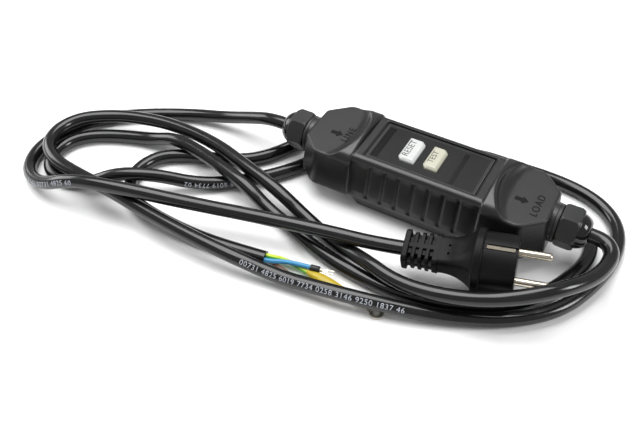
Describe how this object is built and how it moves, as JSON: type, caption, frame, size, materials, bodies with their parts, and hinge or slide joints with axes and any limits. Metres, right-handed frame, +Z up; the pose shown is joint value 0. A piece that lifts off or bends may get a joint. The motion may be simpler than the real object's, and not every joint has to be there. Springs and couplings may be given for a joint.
{
  "type": "portable residual current device with plug lead and load lead",
  "caption": "In-line residual current box with reset and test buttons, a gland at each end, a short lead to an earthed two-pin plug and a long coiled load lead with a stripped end.",
  "frame": {"origin": "on the supporting surface, under the middle of the box without its cords", "axes": "+X along the box towards the load gland, +Y towards the long side away from the plug, +Z up"},
  "size_m": [0.3887, 0.1847, 0.046],
  "materials": {
    "shell": "fine textured black",
    "panel": "satin dark panel",
    "window": "dark smoky gloss",
    "reset_white": "bluish white, satin",
    "test_cream": "cream, satin",
    "screw_steel": "zinc plated",
    "spring_steel": "bright",
    "board": "green solder mask",
    "switch_body": "black moulding",
    "ferrite": "dark sensing core",
    "relay_case": "dark sealed case",
    "terminal_grey": "grey moulding",
    "gland_black": "matte black",
    "seal_rubber": "soft black",
    "cord_rubber": "black, soft gloss",
    "plug_rubber": "matte black",
    "plug_hard": "hard black",
    "pin_nickel": "nickel plated brass",
    "terminal_tin": "tinned, dull",
    "core_blue": "blue insulation",
    "core_green_yellow": "green and yellow insulation",
    "core_brown": "brown insulation",
    "sleeve_black": "black sleeve",
    "sleeve_yellow": "mustard yellow sleeve"
  },
  "bodies": {
    "housing": {"upper_shell": "shell", "lower_shell": "shell", "housing_gasket": "seal_rubber", "housing_screws": "screw_steel", "panel_plate": "panel", "indicator_window": "window", "reset_spring": "spring_steel", "test_spring": "spring_steel", "reset_switch": "switch_body", "test_switch": "switch_body", "circuit_board": "board", "current_transformer": "ferrite", "contact_relay": "relay_case", "load_gland_body": "gland_black", "load_gland_nut": "gland_black", "load_gland_seal": "seal_rubber", "load_sheath_end": "cord_rubber", "load_inner_leads": "core_brown", "load_terminal_block": "terminal_grey", "line_gland_body": "gland_black", "line_gland_nut": "gland_black", "line_gland_seal": "seal_rubber", "line_sheath_end": "cord_rubber", "line_inner_leads": "core_brown", "line_terminal_block": "terminal_grey", "plug_body": "plug_rubber", "plug_strain_relief": "plug_rubber", "plug_insert": "plug_hard", "plug_pins": "pin_nickel", "plug_earth_strips": "pin_nickel", "line_cord": "cord_rubber", "load_cord": "cord_rubber", "blue_core": "core_blue", "green_yellow_core": "core_green_yellow", "brown_core": "core_brown", "blue_core_sleeve": "sleeve_black", "fork_terminal": "terminal_tin", "ring_sleeve": "sleeve_yellow", "ring_terminal": "terminal_tin"},
    "reset_button": {"reset_button": "reset_white"},
    "test_button": {"test_button": "test_cream"}
  },
  "joints": [
    {"name": "reset_press", "type": "slide", "parent": "housing", "child": "reset_button", "axis": [0, 0, -1], "range_m": [0, 0.0025], "stiffness_N_per_m": 300, "deforming": ["reset_spring"]},
    {"name": "test_press", "type": "slide", "parent": "housing", "child": "test_button", "axis": [0, 0, -1], "range_m": [0, 0.0025], "stiffness_N_per_m": 300, "deforming": ["test_spring"]}
  ]
}
